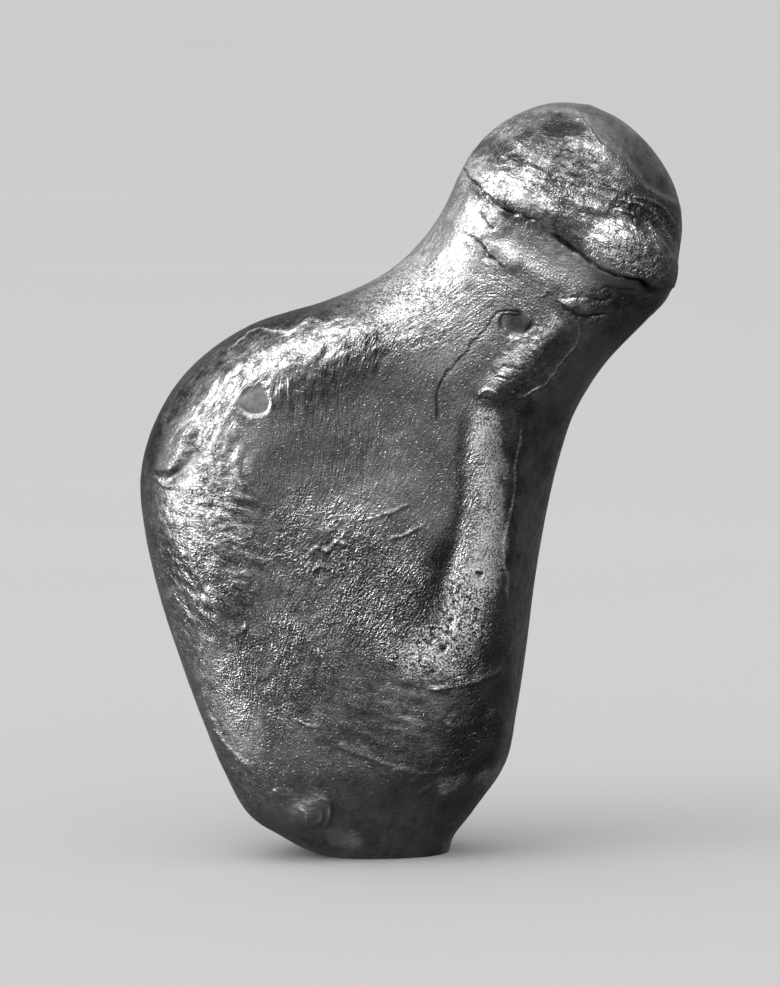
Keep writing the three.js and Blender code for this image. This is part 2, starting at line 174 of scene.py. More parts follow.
# Cracks, creases and thin ridges, for which the mesh is made finer.
FINE_LINES = [
    line([(5.6, 27.0), (5.1, 27.1), (4.6, 27.1), (4.28, 27.05), (4.0, 26.7), (3.72, 26.2),
          (3.1, 25.65), (2.85, 25.15), (2.25, 24.55), (1.75, 23.9), (1.43, 23.3), (1.35, 22.3),
          (1.35, 21.4)], 0.055, -0.025, dark=0.9, fading=0.06),  # the crease in the neck
    line([(2.6, 34.2), (3.0, 33.8), (3.7, 33.15), (4.3, 32.55), (5.0, 32.05), (5.7, 31.85),
          (6.3, 31.65)], 0.07, -0.16, dark=0.8),
    line([(4.3, 32.55), (5.0, 32.05), (5.7, 31.85), (6.2, 31.7)], 0.12, -0.08, dark=0.4,
         fading=0.3),  # the crevice under the lip, painted dark as its shadow
    line([(7.0, 31.1), (7.4, 30.8), (7.9, 30.45), (8.4, 30.1), (9.1, 29.5)], 0.17, -0.2, dark=0.9,
         fading=0.3),
    line([(7.6, 30.7), (8.4, 30.1), (9.1, 29.5), (9.8, 29.15), (10.6, 28.9), (11.2, 28.85),
          (11.7, 28.4), (12.2, 28.5)], 0.1, -0.2, fading=0.2),  # and on to the lip's right end
    # The second fold, below the lip's left end.
    line([(3.0, 30.8), (3.55, 30.5), (3.85, 29.8), (4.4, 29.5)], 0.13, -0.08, dark=0.7, fading=0.3),
    line([(3.5, 32.1), (3.75, 31.6), (4.2, 31.2)], 0.06, -0.07),
    line([(7.5, 27.5), (7.9, 27.15), (8.4, 26.9), (9.1, 26.85), (9.8, 27.05)], 0.08, -0.06,
         dark=0.8),  # under the scale
    line([(7.4, 27.85), (7.9, 27.75), (8.65, 27.85), (9.5, 27.6), (10.2, 27.7)], 0.06, -0.03,
         dark=0.6),
    line([(9.0, 26.7), (9.95, 26.85), (10.7, 27.1), (11.2, 27.4)], 0.06, 0.04),
    line([(9.6, 28.3), (10.2, 28.2), (11.2, 28.3)], 0.08, -0.04, dark=0.6),
    line([(6.2, 27.85), (6.7, 27.95), (6.8, 28.15), (7.1, 27.95)], 0.06, 0.03),
    line([(7.8, 26.85), (8.4, 26.45), *SHEET_EDGE], 0.06, 0.05),
    line([(4.1, 23.9), (4.7, 23.8), (5.2, 23.95)], 0.06, -0.05, dark=0.7),
    line([(4.5, 24.45), (5.2, 24.3), (5.75, 24.4)], 0.06, -0.04, dark=0.6),
    line([(5.5, 25.1), (6.0, 24.85), (6.5, 24.9)], 0.06, -0.04, dark=0.5),
    line([(3.3, 22.85), (3.6, 23.1), (3.95, 23.15), (4.6, 22.65)], 0.09, 0.06),
    line([(3.2, 22.6), (3.8, 22.8), (4.3, 22.5)], 0.07, -0.03, dark=0.5),
    line(ROPE_THREAD, 0.07, 0.055),
    # The lips of the slit in the rim, and the slit's groove, painted dark as its shade.
    line([(-12.6, 18.85), (-12.1, 18.45), (-11.6, 18.35), (-11.1, 18.5)], 0.1, 0.09),
    line([(-12.3, 18.72), (-11.5, 18.78), (-11.0, 19.28), (-10.7, 19.9), (-10.45, 20.6),
          (-10.25, 21.2)], 0.3, -0.1, dark=0.3, fading=0.3),
    line(RIM_CREST, 0.07, 0.05),
    line([(-2.6, 16.55), (-1.6, 16.8), (-0.7, 17.05), (0.2, 17.5)], 0.06, 0.035),  # in the hollow
    *(line(path, 0.08, 0.1) for path in HEAD_STREAKS),
    line([(-0.9, 15.65), (0.0, 15.9), (0.6, 16.2), (1.1, 16.5)], 0.07, 0.045),
    line([(7.1, 23.8), (7.45, 23.25), (7.2, 22.5)], 0.08, 0.04),
    line([(-5.2, 14.6), (-4.7, 15.3), (-4.1, 15.0), (-3.6, 15.6), (-3.3, 15.1)], 0.08, 0.06),
    line([(-5.1, 14.0), (-4.5, 14.3), (-4.0, 14.0)], 0.08, 0.05),
    line([(-5.85, 6.5), (-5.2, 6.25), (-4.7, 6.15), (-4.4, 6.45), (-4.4, 6.75)], 0.07, 0.035),
    line([(-9.3, 11.25), (-8.9, 10.95), (-8.5, 11.0), (-8.25, 11.4)], 0.08, 0.03),
    line([(-10.3, 10.6), (-9.95, 8.1), (-8.95, 5.9), (-7.45, 4.2)], 0.12, 0.05),
    line([(-4.6, 2.95), (-4.05, 2.5), (-4.05, 1.8), (-4.4, 1.28)], 0.09, 0.07),
    line([(-4.84, 2.85), (-4.4, 2.33), (-4.5, 1.7), (-4.95, 1.45)], 0.08, 0.06),
    line([(-5.5, 2.5), (-5.1, 2.1), (-5.2, 1.7)], 0.08, 0.05),
    line([(-6.6, 3.5), (-6.3, 3.15), (-5.9, 3.2)], 0.08, 0.05),
    line([(0.3, 2.8), (1.0, 3.3), (1.8, 3.7)], 0.1, 0.04),
    line([(0.9, 8.1), (2.0, 8.3), (3.3, 8.7), (4.4, 9.3), (4.9, 10.4)], 0.1, 0.06),
    line([(-4.2, 5.3), (-2.6, 4.85), (-1.4, 4.4), (0.4, 3.95), (2.0, 4.1), (3.4, 4.7)],
         0.13, 0.045),
    line([(1.6, 6.4), (3.0, 6.5), (4.4, 7.2)], 0.12, 0.04),
    line([(4.9, 36.85), (5.8, 37.05), (6.8, 37.15), (7.8, 37.1), (8.6, 36.8), (8.95, 36.4),
          (9.2, 36.0), (9.7, 35.5)], 0.08, 0.06),  # crown's crest
]
# A ledge rises over the step on the left of its line, as one walks along it, and dies away.
LEDGES = [
    dict(path=[(1.6, 35.2), (3.0, 33.8), (3.7, 33.15), (4.3, 32.55), (5.0, 32.05), (6.4, 31.6),
               (7.0, 31.1), (7.7, 30.6), (9.1, 29.5), (9.8, 29.15), (10.6, 28.9), (11.4, 28.85),
               (12.4, 28.4), (14.0, 27.8)], rise=0.38, reach=1.2, step=0.14),  # the head's lip
    dict(path=[(1.6, 31.6), (2.7, 31.0), (3.4, 30.55), (3.85, 29.9), (4.4, 29.4), (5.4, 28.9)],
         rise=0.12, reach=0.6, step=0.15),
    dict(path=[(7.2, 27.7), (8.0, 27.2), (8.7, 27.0), (9.5, 26.95), (10.6, 27.2), (11.4, 27.8)],
         rise=0.12, reach=0.6, step=0.1),
    dict(path=[(8.45, 26.7), (8.5, 26.0), (8.2, 25.3), (7.35, 24.35), (6.7, 23.45), (5.8, 22.9),
               (5.1, 22.6)], rise=0.1, reach=0.8, step=0.6),  # sheet of melt down the right
    dict(path=[(-12.9, 19.1), (-12.2, 18.7), (-11.5, 18.8), (-11.0, 19.3), (-10.7, 19.9),
               (-10.45, 20.6), (-10.2, 21.5)], rise=0.3, reach=0.8, step=0.5),  # slit in the rim
    dict(path=[(14.2, 32.2), *reversed(CROWN_EDGE), (8.4, 37.1), (8.1, 37.8)],
         rise=0.15, reach=0.8, step=0.2),
]
# Thumbprints on the back, at (x, z).
THUMBPRINTS = [
    dome((-5.0, 19.5), (6.2, 5.4), -1.0, turn=0.4),
    dome((-1.6, 8.5), (5.0, 6.0), -0.9, turn=-0.3),
    dome((4.9, 24.6), (3.4, 4.6), -0.6, turn=-0.7),
    dome((9.4, 32.6), (3.4, 2.8), -0.45, turn=0.3),
]
SWELL_HEIGHT = 0.16  # of the gentle unevenness all over

# ---- Flow of the melt -------------------------------------------------------
FLOW_REACH = 3.0  # how far round its place each row of FLOW counts
# Places on the front, and the way the streaks run there in degrees above the horizontal.
FLOW = [
    (-11.1, 16.6, -15), (-9.6, 22.6, 50), (-10.0, 12.6, -35), (-4.0, 25.6, 75), (-6.0, 21.2, 106),
    (-2.0, 20.0, 95), (1.0, 18.6, 60), (-4.0, 16.1, 50), (-1.6, 12.6, 56), (-7.0, 10.6, 75),
    (-3.0, 7.6, -35), (0.6, 6.6, -15), (2.0, 5.6, 8), (4.4, 8.0, 40), (-1.6, 4.6, -10),
    (4.0, 20.0, 65), (1.4, 26.1, 40), (5.6, 24.4, -40), (7.4, 32.6, -25), (10.4, 31.6, -35),
    (6.4, 36.6, -3), (4.0, 34.6, -25), (8.0, 29.6, -30), (5.6, 13.0, 85),
]

# ---- Finishes ---------------------------------------------------------------
# A height is what its patch or line adds to the finish there, and a full finish is 1. Grain,
# flakes, worm-like ridges, pores and drips are textures of the melt, which polish calms. Frost
# is fine and rough. Tarnish is partly soot and partly painted shade. Dark and pale change the
# metal's tone: partly its own mottling, and partly painted shade and painted light.
FINISHES = {
    "grain": [
        dome((-0.6, 12.6), (4.6, 4.6), 0.9, turn=0.3),
        dome((2.6, 10.6), (2.2, 3.0), 1.0, turn=-0.2),
        dome((3.4, 17.6), (1.5, 7.4), 0.6, turn=-0.08),
        dome((0.6, 27.0), (4.6, 2.6), 0.3, turn=0.5),
        dome((8.0, 33.0), (5.4, 3.0), 0.4, turn=-0.5),
        dome((5.4, 26.6), (4.4, 3.6), 0.35, turn=0.4),
        dome((10.4, 30.2), (2.6, 1.6), 0.4, turn=-0.5),
        dome((12.2, 31.2), (1.6, 2.2), 0.9),
        dome((-10.4, 15.6), (2.6, 5.6), 0.7, turn=0.1),
        dome((4.6, 35.4), (3.6, 2.0), 0.5, turn=0.5),
        dome((-6.2, 9.4), (4.0, 4.4), 0.9),
    ],
    "flakes": [
        dome((-9.9, 16.2), (3.4, 7.0), 1.2, turn=0.05),
        dome((-6.6, 24.4), (6.4, 2.6), 1.0, turn=0.45),
        dome((0.4, 28.0), (5.0, 3.0), 0.35, turn=0.7),
        dome((-6.4, 10.6), (3.2, 4.4), 0.5, turn=0.3),
        dome((5.6, 24.8), (2.6, 1.5), 1.1, turn=0.8),
        dome((9.0, 27.6), (2.4, 1.0), 0.8),
        dome((6.6, 33.6), (5.4, 3.4), 1.2, turn=-0.5),
        dome((11.0, 31.0), (2.6, 2.6), 0.8, turn=-0.5),
        dome((-1.0, 6.6), (7.0, 3.4), 0.5),
    ],
    "worm": [
        dome((-6.6, 9.8), (3.4, 3.4), 0.3),
        dome((4.4, 27.6), (4.0, 2.6), 0.2, turn=0.4),
        dome((-4.4, 15.6), (4.2, 3.8), 1.0, turn=0.5),
        dome((-0.6, 12.4), (3.6, 3.8), 0.9, turn=0.5),
        dome((-9.6, 15.6), (2.4, 4.6), 0.7, turn=0.1),
        dome((7.4, 33.2), (4.4, 2.6), 0.45, turn=-0.5),
        dome((-1.6, 25.4), (4.6, 1.5), 0.6, turn=0.35),
    ],
    "pores": [
        dome((2.3, 11.0), (1.7, 3.2), 1.3, turn=-0.3),
        dome((0.6, 9.9), (2.0, 1.3), 1.2, turn=0.5),
        dome((10.7, 30.1), (2.2, 1.3), 0.8, turn=-0.5),
        dome((4.2, 33.4), (1.6, 1.0), 0.5, turn=-0.6),
    ],
    "frost": [
        dome((5.0, 27.0), (3.4, 2.6), 0.2, turn=0.4),
        dome((5.4, 24.7), (2.0, 1.2), 0.5, turn=0.8),
        dome((2.0, 10.8), (1.7, 3.3), 0.8, turn=-0.35),
        dome((0.8, 9.9), (1.9, 1.2), 0.9, turn=0.5),
        dome((10.5, 30.3), (2.2, 1.3), 0.4, turn=-0.55),
        dome((7.9, 29.8), (3.4, 1.3), 0.35, turn=-0.5),
        dome((3.9, 3.9), (0.9, 0.8), 0.6),
        dome((2.1, 3.5), (1.3, 0.6), 0.6, turn=0.5),
        dome((-5.5, 2.5), (1.2, 1.0), 0.5),
        dome((-2.8, 0.7), (1.1, 0.6), 0.4, turn=-0.2),
        dome((-8.5, 6.2), (2.4, 0.45), 0.4, turn=-1.05),
        dome((5.8, 32.45), (1.4, 0.6), 0.6, turn=-0.5),
        dome((0.6, 28.4), (4.4, 2.4), 0.3, turn=0.6),
        dome((-9.6, 16.0), (3.0, 6.0), 0.3, turn=0.1),
    ],
    "drips": [
        dome((-2.3, 25.0), (2.6, 1.5), 1.1, turn=0.45),
        dome((-5.4, 23.0), (2.6, 2.0), 0.5, turn=0.5),
        dome((-3.4, 20.2), (4.8, 4.6), 0.32),
    ],
    "polish": [
        dome((8.2, 29.6), (3.2, 1.0), 0.4, turn=-0.5),  # the shelf
        dome((-7.73, 22.55), (1.05, 0.95), 1.2),  # the pits' floors
        dome((5.2, 26.4), (0.95, 0.9), 1.2),
        dome((-0.6, 0.2), (9.0, 3.6), 0.7),  # the underside
    ],
    "tarnish": [
        # Painted shade in the neck pit, in the crown's dimple and on the head's top.
        dome((5.2, 26.45), (0.95, 0.8), 0.85),
        dome((7.6, 36.35), (1.3, 0.5), 0.6, turn=-0.1),
        dome((7.4, 35.3), (2.2, 0.8), 0.5, turn=-0.3),
        dome((-2.0, 25.0), (1.6, 1.0), 0.4, turn=0.5),
    ],
    "dark": [
        # Partly the metal's own darker tone, and partly painted shade: on the hollow's lower part and
        # the underside, which face down, on the head's top and right, and in the hollows under the
        # scale, in the neck pit and in the crown's dimple.
        dome((-1.2, 12.2), (6.0, 5.4), 0.5, turn=0.3),
        dome((0.8, 6.4), (6.0, 4.0), 0.5, turn=0.2),
        dome((3.0, 10.6), (2.4, 4.0), 0.35, turn=-0.2),
        dome((7.4, 34.2), (2.2, 1.1), 0.7, turn=-0.4),
        dome((7.2, 35.3), (2.8, 0.9), 0.9, turn=-0.3),
        dome((8.7, 35.5), (1.5, 0.8), 0.8, turn=-0.6),
        dome((10.4, 32.6), (2.6, 1.1), 0.6, turn=-0.6),
        dome((9.7, 27.5), (1.3, 0.5), 0.8),
        dome((11.8, 34.2), (1.8, 2.6), 0.5, turn=0.7),
        dome((7.6, 33.2), (2.4, 0.8), 0.4, turn=-0.4),
        dome((-9.4, 22.4), (2.6, 2.6), 0.3),
        dome((-4.0, 14.6), (4.0, 3.4), 0.5),
        dome((5.4, 35.6), (3.4, 1.8), 0.4, turn=0.3),
        dome((-6.6, 9.0), (3.0, 4.2), 0.35, turn=0.1),
        dome((5.2, 26.45), (0.9, 0.75), 1.2),
        dome((7.6, 36.35), (1.4, 0.6), 1.8, turn=-0.1),  # painted shade in the crown's dimple
    ],
    "pale": [
        # Partly pale mottling of the metal's own, and partly painted light: on the shelf, the neck's
        # flank, the fold above the rope, the head's bulges and the rim's left side.
        dome((7.6, 29.9), (3.8, 1.6), 1.4, turn=-0.5),  # painted light on the shelf, which the lip shades
        dome((7.0, 27.6), (3.6, 1.6), 0.6, turn=-0.2),
        dome((8.2, 27.45), (0.9, 0.4), 0.6, turn=-0.1),
        dome((5.7, 24.6), (2.4, 1.3), 1.1, turn=0.8),  # painted light on the fold above the rope
        dome((-7.8, 6.0), (2.4, 0.7), 0.6, turn=-1.1),  # mottling round the foot
        dome((-5.5, 2.6), (1.6, 1.3), 0.9),
        dome((2.1, 3.5), (1.3, 0.6), 0.8, turn=0.5),
        dome((-12.3, 18.0), (0.9, 2.2), 0.8),
        dome((4.2, 33.5), (1.8, 1.0), 0.5, turn=-0.6),
        dome((8.0, 24.6), (2.6, 3.4), 1.0, turn=-0.5),  # painted light on the neck's flank
        dome((3.6, 25.8), (3.4, 2.6), 0.7, turn=0.6),
        dome((10.5, 30.3), (2.6, 1.6), 1.7, turn=-0.55),
        dome((-3.4, 20.0), (5.0, 5.0), 0.25),
        dome((3.9, 3.9), (0.9, 0.8), 1.0),
        dome((0.8, 9.9), (1.8, 1.1), 0.9, turn=0.5),  # the rope's porous end
        dome((-3.4, 0.7), (1.1, 0.6), 1.0, turn=-0.2),
        dome((-7.73, 22.55), (1.0, 0.95), 0.2),
        dome((5.8, 32.45), (1.5, 0.7), 1.3, turn=-0.5),
    ],
}
# The left's outer edge, where the lump turns to the back, and where it is painted darker as shade.
OUTER_EDGE = [(-12.6, 11.6), (-13.3, 15.6), (-13.1, 20.0), (-12.1, 22.4), (-10.8, 24.2),
              (-9.1, 25.5), (-7.2, 26.5), (-5.0, 27.2), (-2.6, 27.9), (1.2, 31.4)]
# A sooty streak on the left of the head.
HEAD_SMEAR = [(2.6, 35.6), (3.6, 35.3), (4.6, 34.95), (5.8, 34.35)]
# The same finishes along lines.
FINISH_LINES = {
    "frost": [
        line([(2.2, 9.8), (2.7, 11.4), (3.3, 13.4), (3.8, 15.4), (3.95, 17.8), (3.85, 20.2),
              (3.6, 23.0)], 0.75, 1.0),  # the rope
        # The rim.
        line([(-11.2, 15.0), (-11.0, 19.5), (-9.0, 23.0), (-4.2, 25.9), (1.8, 29.2)], 1.4, 0.3),
    ],
    "tarnish": [
        # painted shade along the left's outer edge
        line(OUTER_EDGE, 1.05, 1.7, fading=0.4),
        line([(-12.2, 18.75), (-11.4, 18.9), (-10.85, 19.4), (-10.45, 20.0), (-10.2, 20.8)],
             0.4, 0.5, fading=0.3),  # painted shade in the slit
        line(HEAD_SMEAR, 0.35, 0.6),
    ],
    "polish": [
        line([(-12.2, 18.65), (-11.4, 18.75), (-10.9, 19.3), (-10.5, 19.9), (-10.2, 20.7)],
             0.35, 0.8, fading=0.3),
    ],
    "pale": [
        line(RIM[:5], 1.2, 0.7),  # painted light on the rim's lower end
        line([(3.3, 13.4), (3.8, 15.4), (4.0, 17.8), (3.85, 20.2), (3.6, 23.0)], 0.7, 0.5),
    ],
    "dark": [
        line([(4.3, 14.6), (4.2, 12.6), (4.0, 10.6)], 0.4, 0.2),
        # painted shade along the left's outer edge
        line(OUTER_EDGE, 1.0, 0.6, fading=0.4),
        # The creased band across the head.
        line([(5.6, 34.6), (8.5, 33.4), (10.2, 33.1), (12.1, 32.6), (13.2, 30.8)], 0.5, 0.4),
        line(HEAD_SMEAR, 0.45, 1.2),
        # Beside the rope.
        line([(6.2, 23.2), (5.5, 21.0), (5.2, 18.6), (4.9, 16.4), (4.6, 14.0)], 0.35, 0.8),
    ],
}
# Finishes that keep to the thin ridges, and stray from their lines only as far as those do. Their
# pale lines are painted highlights along the crests.
CREST_FINISHES = {
    "pale": [
        line(RIM_CREST, 0.06, 1.0),
        *(line(path, 0.07, 0.8) for path in HEAD_STREAKS),
        line([(5.8, 37.05), (6.8, 37.15), (7.8, 37.1), (8.6, 36.8), *CROWN_EDGE], 0.14, 1.6),
        line(SHEET_EDGE, 0.08, 0.8),
        line(ROPE_THREAD, 0.08, 0.7),
    ],
    "frost": [
        line(ROPE_THREAD, 0.08, 0.4),
    ],
    "tarnish": [
        line(RIM_CREST, 0.06, -0.8),
        # painted shade at the groove's broad end
        line(GROOVE_END, 0.5, 0.35, fading=0.2),
    ],
    "dark": [
        # painted shade at the groove's broad end
        line(GROOVE_END, 0.6, 1.0, fading=0.15),
    ],
}
BACK_FINISH = dict(grain=0.2, flakes=0.3, worm=0.5, polish=0.4, tarnish=0.15)  # all over the back
# The melt is smooth on the left of these lines, as one walks along them, and torn on the right.
POLISH_EDGES = [
    [(13.0, 27.6), (11.0, 26.6), (8.7, 25.6), (6.9, 23.3), (5.8, 22.4), (5.2, 18.6), (4.7, 15.6),
     (4.7, 12.5), (5.0, 9.0), (4.6, 6.0), (3.4, 2.6), (1.0, 0.4)],
    [(4.6, 38.0), (6.8, 37.4), (7.8, 37.2), (8.6, 36.85), *CROWN_EDGE, (14.2, 32.2)],
]
POLISH_FADE = (-0.15, 0.5)  # from so far outside the line to so far inside it
FLANK_POLISH = 0.8  # the finishes of the smooth side
# painted shade on the smooth side, which turns away from the light
FLANK_PAINTED_SHADE = 0.1


# ---- Measures ---------------------------------------------------------------
def smooth(low, high, value):
    """0 below low, 1 above high and a smooth step between."""
    share = np.clip((value - low) / (high - low), 0, 1)
    return share * share * (3 - 2 * share)


def seen(points):
    """Where the viewer sees each point, in the upright plane through the aim."""
    aim_x, aim_z = VIEWER_AIM
    cos, sin = math.cos(VIEWER_PITCH), math.sin(VIEWER_PITCH)
    up = (points[:, 2] - aim_z) * cos + points[:, 1] * sin
    nearer = (points[:, 2] - aim_z) * sin - points[:, 1] * cos
    scale = VIEWER_DISTANCE / (VIEWER_DISTANCE - nearer)
    return np.stack([aim_x + (points[:, 0] - aim_x) * scale, aim_z + up * scale], axis=1)


def elliptic(places, at, radii, turn):
    """The distance from the middle of a turned ellipse, which is 1 on its edge."""
    dx, dz = places[:, 0] - at[0], places[:, 1] - at[1]
    along = (dx * math.cos(turn) + dz * math.sin(turn)) / radii[0]
    across = (dz * math.cos(turn) - dx * math.sin(turn)) / radii[1]
    return np.hypot(along, across)


def domes(places, patches):
    """The sum of smooth swellings, each its height at the middle and 0 from its edge on."""
    total = np.zeros(len(places))
    for patch in patches:
        inside = np.clip(1 - elliptic(places, patch["at"], patch["radii"], patch["turn"]) ** 2, 0, 1)
        total += patch["height"] * inside * inside * (3 - 2 * inside)
    return total


def flowing(points):
    """A smooth line through a few points, as LINE_STEPS straight steps."""
    points = np.array(points, float)
    last = len(points) - 1
    curve = []
    for step in np.linspace(0, last, LINE_STEPS + 1):
        i = min(int(step), last - 1)
        t = step - i
        a, b, c, d = (points[np.clip(k, 0, last)] for k in (i - 1, i, i + 1, i + 2))
        tangent, next_tangent = (c - a) / 2, (d - b) / 2
        curve.append(
            (2 * b - 2 * c + tangent + next_tangent) * t**3
            + (3 * c - 3 * b - 2 * tangent - next_tangent) * t**2
            + tangent * t
            + b
        )
    return np.array(curve)


def nearest(places, path):
    """How places lie to a line: the distance away, the side, which is above 0 on the line's
    left, and the share of the line passed."""
    away = np.full(len(places), np.inf)
    side, passed = np.zeros(len(places)), np.zeros(len(places))
    for i, (a, b) in enumerate(zip(path[:-1], path[1:])):
        step = b - a
        share = np.clip((places - a) @ step / (step @ step), 0, 1)
        off = places - a - share[:, None] * step
        distance = np.hypot(off[:, 0], off[:, 1])
        closer = distance < away
        away[closer] = distance[closer]
        side[closer] = (step[0] * off[:, 1] - step[1] * off[:, 0])[closer]
        passed[closer] = (i + share[closer]) / (len(path) - 1)
    return away, side, passed


def near_line(places, path, reach):
    """The indices of the places that could be within reach of a line."""
    low, high = path.min(axis=0) - reach, path.max(axis=0) + reach
    return np.flatnonzero(((places > low) & (places < high)).all(axis=1))


# ---- Noise ------------------------------------------------------------------
NOISE_TABLE = 256
NOISE_GAIN = 1.6  # brings the noise to about -1 to 1
SEED_SHIFT = 17.3  # cells between the noises of two seeds
rng = np.random.default_rng(7)
SHUFFLE = rng.permutation(NOISE_TABLE)
GRADIENTS = rng.normal(size=(NOISE_TABLE, 3))
GRADIENTS /= np.linalg.norm(GRADIENTS, axis=1)[:, None]


def noise(points, size, seed=0):
    """Smooth noise of about -1 to 1, with lumps of this size."""
    scaled = points / size + SEED_SHIFT * seed
    cell = np.floor(scaled).astype(int)
    part = scaled - cell
    ease = part**3 * (part * (part * 6 - 15) + 10)
    total = np.zeros(len(points))
    for corner in itertools.product((0, 1), repeat=3):
        x, y, z = ((cell + corner) % NOISE_TABLE).T
        entry = SHUFFLE[(SHUFFLE[(SHUFFLE[x] + y) % NOISE_TABLE] + z) % NOISE_TABLE]
        weight = np.where(corner, ease, 1 - ease).prod(axis=1)
        total += weight * (GRADIENTS[entry] * (part - corner)).sum(axis=1)
    return NOISE_GAIN * total


def streaked(points, flow, size, length, seed=0, taps=7):
    """Noise drawn out along the flow to this length."""
    offsets = np.linspace(-0.5, 0.5, taps) * length
    total = sum(noise(points + offset * flow, size, seed) for offset in offsets)
    return total / math.sqrt(taps)


# ---- The lump's form --------------------------------------------------------
def rail(points, t):
    """Points at shares t of a centripetal Catmull-Rom curve through points."""
    points = np.array(points, float)
    points = np.vstack([2 * points[0] - points[1], points, 2 * points[-1] - points[-2]])
    last = len(points) - 4
    found = []
    for share in np.atleast_1d(t) * (last + 1):
        i = min(int(share), last)
        w = share - i
        a, b, c, d = points[i : i + 4]
        gap = [max(1e-4, math.sqrt(np.linalg.norm(q - p))) for p, q in ((a, b), (b, c), (c, d))]
        start = ((b - a) / gap[0] - (c - a) / (gap[0] + gap[1]) + (c - b) / gap[1]) * gap[1]
        end = ((c - b) / gap[1] - (d - b) / (gap[1] + gap[2]) + (d - c) / gap[2]) * gap[1]
        cubic = 2 * b - 2 * c + start + end
        square = 3 * c - 3 * b - 2 * start - end
        found.append(((cubic * w + square) * w + start) * w + b)
    return np.array(found)


def ring_shares():
    """Where each ring lies along the sections, from 0 at the foot's edge to 1 at the crown."""
    rise = np.clip((np.arange(RINGS + 1) - FOOT_RINGS) / (RINGS - FOOT_RINGS), 0, 1)
    fine = np.linspace(0, 1, MIDDLE_STEPS + 1)
    middles = [(np.array(s["left"]) + s["right"]) / 2 for s in SECTIONS]
    steps = np.linalg.norm(np.diff(rail(middles, fine), axis=0), axis=1)
    lengths = np.concatenate([[0], np.cumsum(steps)])
    even = np.interp(rise * lengths[-1], lengths, fine)
    return even + (rise - even) * CROWN_BIAS


def powered(value):
    """A cosine or sine, bent from a circle's to the sections' squarer curve."""
    return np.sign(value) * np.abs(value) ** (2 / SQUARENESS)


def formed(unit):
    """Moves the points of a unit sphere to the lump's smooth form."""
    ring = RINGS - np.rint(np.arccos(np.clip(unit[:, 2], -1, 1)) / math.pi * RINGS).astype(int)
    share = np.arctan2(-unit[:, 1], -unit[:, 0]) / (2 * math.pi) % 1
    in_front = share < FRONT_SHARE
    back_share = (share - FRONT_SHARE) / (1 - FRONT_SHARE)
    angle = math.pi * np.where(in_front, share / FRONT_SHARE, 1 + back_share)
    t = ring_shares()
    left, right = (rail([s[side] for s in SECTIONS], t)[ring] for side in ("left", "right"))
    front, back = rail([(s["front"], s["back"]) for s in SECTIONS], t)[ring].T
    on_foot = np.minimum(1, ring / FOOT_RINGS)
    across = -powered(np.cos(angle)) * on_foot
    to_front = powered(np.sin(angle)) * on_foot
    middle = (left + right) / 2
    half = (right - left) / 2
    x = middle[:, 0] + half[:, 0] * across
    z = np.maximum(0, middle[:, 1] + half[:, 1] * across)
    y = -to_front * np.where(to_front > 0, front, back) + SKEW * (x - middle[:, 0])
    return np.stack([x, y, z], axis=1)


# ---- Relief -----------------------------------------------------------------
WOBBLE = 0.08  # how far noise shifts the lines and pits sideways, so that none is ruled
WOBBLE_SIZE = 0.5  # of that noise's lumps
STAIN_WOBBLES = ((0.35, 1.1), (0.15, 0.35))  # how far, and at what size, it shifts the finishes
PORE_DEPTH = 0.1  # a pit deeper than this is a pore, painted dark inside as shade
TROUGH_PAINTED_SHADE = 0.2  # painted shade of the broad grooves' middles, where a crevice's is 1
UNEVEN = 0.5  # share by which noise changes a line's height along it
UNEVEN_SIZE = 0.8  # of that noise's lumps
CALM = 0.9  # share of the fine relief that polish takes away
# Parts of a pit, as shares of its radius.
PIT_WALL = (0.85, 1.0)
PIT_RIM = 1.06
PIT_RIM_WIDTH = 0.1
PORE_SHADE = (0.6, 1.1)
# How far from its line relief is worked out, in the line's widths or the ledge's reaches.
LINE_WIDTHS = 3
LEDGE_REACHES = 4
# What fades in, from a value where it is 0 to one where it is whole. A facing is how squarely
# the surface looks to the front or to the back, and is 1 where it does so straight.
FRONT_FACING = (-0.1, 0.5)  # the front's relief
BACK_FACING = (0.1, 0.6)  # the thumbprints
SWELL_FACING = (0, 0.6)
BACK_FINISH_FACING = (-0.1, 0.8)
FOOT_HEIGHTS = (0.2, 2)  # all relief, above the foot
CAVITY_DEPTHS = (0.02, 0.2)  # the soot and painted shade in hollows


def ends(passed, fading):
    """How far a line has faded in or out where this share of it is passed."""
    return smooth(0, fading, passed) * (1 - smooth(1 - fading, 1, passed))


def wobbled(points, places, reach, size):
    """Places shifted a little by noise."""
    shifts = [noise(points, size, seed) for seed in (11, 12)]
    return places + reach * np.stack(shifts, axis=1)


def traced(places, lines):
    """Each line, with the places near it, how far it has faded there and how near they lie."""
    for row in lines:
        path = flowing(row["path"])
        near = near_line(places, path, LINE_WIDTHS * row["width"])
        away, _, passed = nearest(places[near], path)
        yield row, near, ends(passed, row["fading"]), np.exp(-((away / row["width"]) ** 2))


def line_relief(places, lines):
    """The relief of the lines, and how fully each place lies in a crevice."""
    total, crevice = np.zeros(len(places)), np.zeros(len(places))
    for row, near, fade, share in traced(places, lines):
        total[near] += row["height"] * fade * share
        if row["height"] < 0:
            crevice[near] = np.maximum(crevice[near], row["dark"] * fade * np.sqrt(share))
    return total, crevice


def ledge_relief(places):
    """The relief of the ledges, which step up at once and fall away slowly."""
    total = np.zeros(len(places))
    for ledge in LEDGES:
        path = flowing(ledge["path"])
        near = near_line(places, path, LEDGE_REACHES * ledge["reach"])
        away, side, passed = nearest(places[near], path)
        raised = ledge["rise"] * smooth(0, ledge["step"], away) * np.exp(-away / ledge["reach"])
        total[near] += ends(passed, FADING) * np.where(side > 0, raised, 0)
    return total


